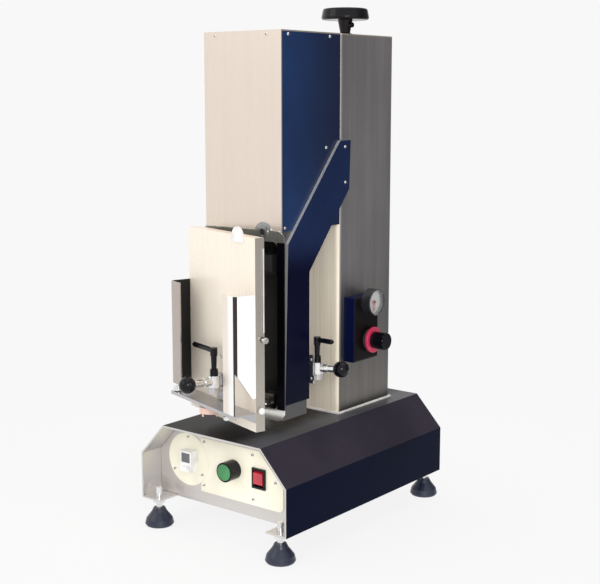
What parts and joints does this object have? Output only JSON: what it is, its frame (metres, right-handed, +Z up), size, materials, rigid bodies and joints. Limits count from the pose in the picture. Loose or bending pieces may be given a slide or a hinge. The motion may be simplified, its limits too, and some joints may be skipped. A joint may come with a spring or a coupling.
{
  "type": "cup sealing machine",
  "caption": "Pneumatic bench sealing press: sheet-metal base, rear column with handwheel, cantilever head, and a framed chamber behind a swinging pocket door with clamp arms.",
  "frame": {"origin": "on the floor, under the centre of the base cover", "axes": "+X to the machine's right as seen from the front, +Y to the back, +Z up; the panel and the door face -Y"},
  "size_m": [0.2902, 0.4552, 0.8],
  "materials": {
    "navy_paint": "gloss",
    "satin_steel": "satin",
    "column_steel": "brushed",
    "cream_plate": "satin",
    "bright_steel": "polished",
    "machined_steel": "machined",
    "aluminium": "satin",
    "black_plastic": "matte",
    "white_plastic": "gloss",
    "grey_window": "gloss",
    "green_plastic": "gloss",
    "red_plastic": "gloss",
    "pink_ring": "satin",
    "rubber": "matte",
    "brass": "satin",
    "black_paint": "gloss",
    "gauge_steel": "gloss"
  },
  "bodies": {
    "stand": {"base_cover": "navy_paint", "front_panel": "satin_steel", "rear_panel": "satin_steel", "floor_tray": "satin_steel", "foot_studs": "bright_steel", "label_plates": "cream_plate", "counter_body": "white_plastic", "counter_window": "grey_window", "button_shroud": "black_plastic", "rocker_bezel": "black_plastic", "power_inlet": "black_plastic", "air_inlet": "brass", "power_supply": "aluminium", "solenoid_valve": "aluminium", "column_shell": "column_steel", "top_caps": "satin_steel", "column_rods": "machined_steel", "head_front": "satin_steel", "head_sides": "navy_paint", "right_bracket": "navy_paint", "left_bracket": "navy_paint", "cover_screws": "bright_steel", "chamber_box": "black_paint", "chamber_frame": "bright_steel", "latch_eye": "bright_steel", "anvil": "machined_steel", "hinge_fixed": "machined_steel", "right_clamp_base": "machined_steel", "regulator_box": "navy_paint", "regulator_body": "black_paint", "lock_ring": "red_plastic", "gauge_case": "gauge_steel"},
    "front_left_foot": {"foot_front_left": "rubber"},
    "front_right_foot": {"foot_front_right": "rubber"},
    "back_left_foot": {"foot_back_left": "rubber"},
    "back_right_foot": {"foot_back_right": "rubber"},
    "counter_keys": {"counter_keys": "white_plastic"},
    "green_button": {"button_cap": "green_plastic"},
    "rocker": {"rocker_key": "red_plastic"},
    "handwheel": {"handwheel": "black_plastic", "lead_screw": "machined_steel"},
    "carriage": {"carriage": "aluminium", "air_cylinder": "aluminium"},
    "ram": {"piston_rod": "bright_steel", "heater_block": "black_paint"},
    "door": {"door_panel": "satin_steel", "hinge_door": "machined_steel", "pocket_guides": "satin_steel", "pocket_shelf": "satin_steel", "left_clamp_block": "machined_steel", "pin_ring": "pink_ring"},
    "left_arm": {"left_arm": "bright_steel", "left_ball": "black_plastic"},
    "left_lever": {"left_lever": "black_plastic"},
    "door_latch": {"door_latch": "white_plastic"},
    "right_arm": {"right_arm": "bright_steel", "right_ball": "black_plastic"},
    "right_lever": {"right_lever": "black_plastic"},
    "regulator_knob": {"regulator_knob": "black_plastic"},
    "gauge_needle": {"gauge_needle": "red_plastic"}
  },
  "joints": [
    {"name": "front_left_foot_turn", "type": "hinge", "parent": "stand", "child": "front_left_foot", "pos_m": [-0.1226, -0.1894, 0], "axis": [0, 0, 1], "continuous": true},
    {"name": "front_right_foot_turn", "type": "hinge", "parent": "stand", "child": "front_right_foot", "pos_m": [0.1226, -0.1894, 0], "axis": [0, 0, 1], "continuous": true},
    {"name": "back_left_foot_turn", "type": "hinge", "parent": "stand", "child": "back_left_foot", "pos_m": [-0.1226, 0.1902, 0], "axis": [0, 0, 1], "continuous": true},
    {"name": "back_right_foot_turn", "type": "hinge", "parent": "stand", "child": "back_right_foot", "pos_m": [0.1226, 0.1902, 0], "axis": [0, 0, 1], "continuous": true},
    {"name": "counter_keys_press", "type": "slide", "parent": "stand", "child": "counter_keys", "axis": [0, 1, 0], "range_m": [0, 0.0008], "stiffness_N_per_m": 300, "springref_m": -0.0005},
    {"name": "green_button_press", "type": "slide", "parent": "stand", "child": "green_button", "axis": [0, 1, 0], "range_m": [0, 0.003], "stiffness_N_per_m": 400, "springref_m": -0.002},
    {"name": "rocker_tilt", "type": "hinge", "parent": "stand", "child": "rocker", "pos_m": [0.0625, -0.162, 0.1055], "axis": [1, 0, 0], "range_deg": [-6, 6]},
    {"name": "handwheel_turn", "type": "hinge", "parent": "stand", "child": "handwheel", "pos_m": [0, 0.126, 0.791], "axis": [0, 0, 1], "range_deg": [-1082, 1442]},
    {"name": "carriage_travel", "type": "slide", "parent": "stand", "child": "carriage", "axis": [0, 0, 1], "range_m": [-0.015, 0.02]},
    {"name": "ram_stroke", "type": "slide", "parent": "carriage", "child": "ram", "axis": [0, 0, -1], "range_m": [0, 0.165]},
    {"name": "door_swing", "type": "hinge", "parent": "stand", "child": "door", "pos_m": [-0.0849, -0.1391, 0.3275], "axis": [0, 0, 1], "range_deg": [-75, 17]},
    {"name": "left_arm_swing", "type": "hinge", "parent": "door", "child": "left_arm", "pos_m": [-0.00541, -0.18693, 0.247], "axis": [0, 0, 1], "range_deg": [-60, 60]},
    {"name": "left_lever_turn", "type": "hinge", "parent": "door", "child": "left_lever", "pos_m": [-0.00541, -0.18693, 0.262], "axis": [0, 0, 1], "range_deg": [-5, 120]},
    {"name": "door_latch_turn", "type": "hinge", "parent": "door", "child": "door_latch", "pos_m": [0.04516, -0.18911, 0.4614], "axis": [-0.2924, -0.9563, 0], "range_deg": [-50, 50]},
    {"name": "right_arm_swing", "type": "hinge", "parent": "stand", "child": "right_arm", "pos_m": [0.083, -0.053, 0.256], "axis": [0, 0, 1], "range_deg": [-50, 50]},
    {"name": "right_lever_turn", "type": "hinge", "parent": "stand", "child": "right_lever", "pos_m": [0.083, -0.053, 0.27], "axis": [0, 0, 1], "range_deg": [-80, 80]},
    {"name": "regulator_knob_turn", "type": "hinge", "parent": "stand", "child": "regulator_knob", "pos_m": [0.116, 0.068, 0.282], "axis": [1, 0, 0], "range_deg": [-720, 720]},
    {"name": "gauge_needle_swing", "type": "hinge", "parent": "stand", "child": "gauge_needle", "pos_m": [0.1037, 0.066, 0.343], "axis": [-1, 0, 0], "range_deg": [0, 270]}
  ],
  "couplings": [
    {"joint": "handwheel_turn", "follows": "carriage_travel", "rad_per_m": 1256.6}
  ]
}
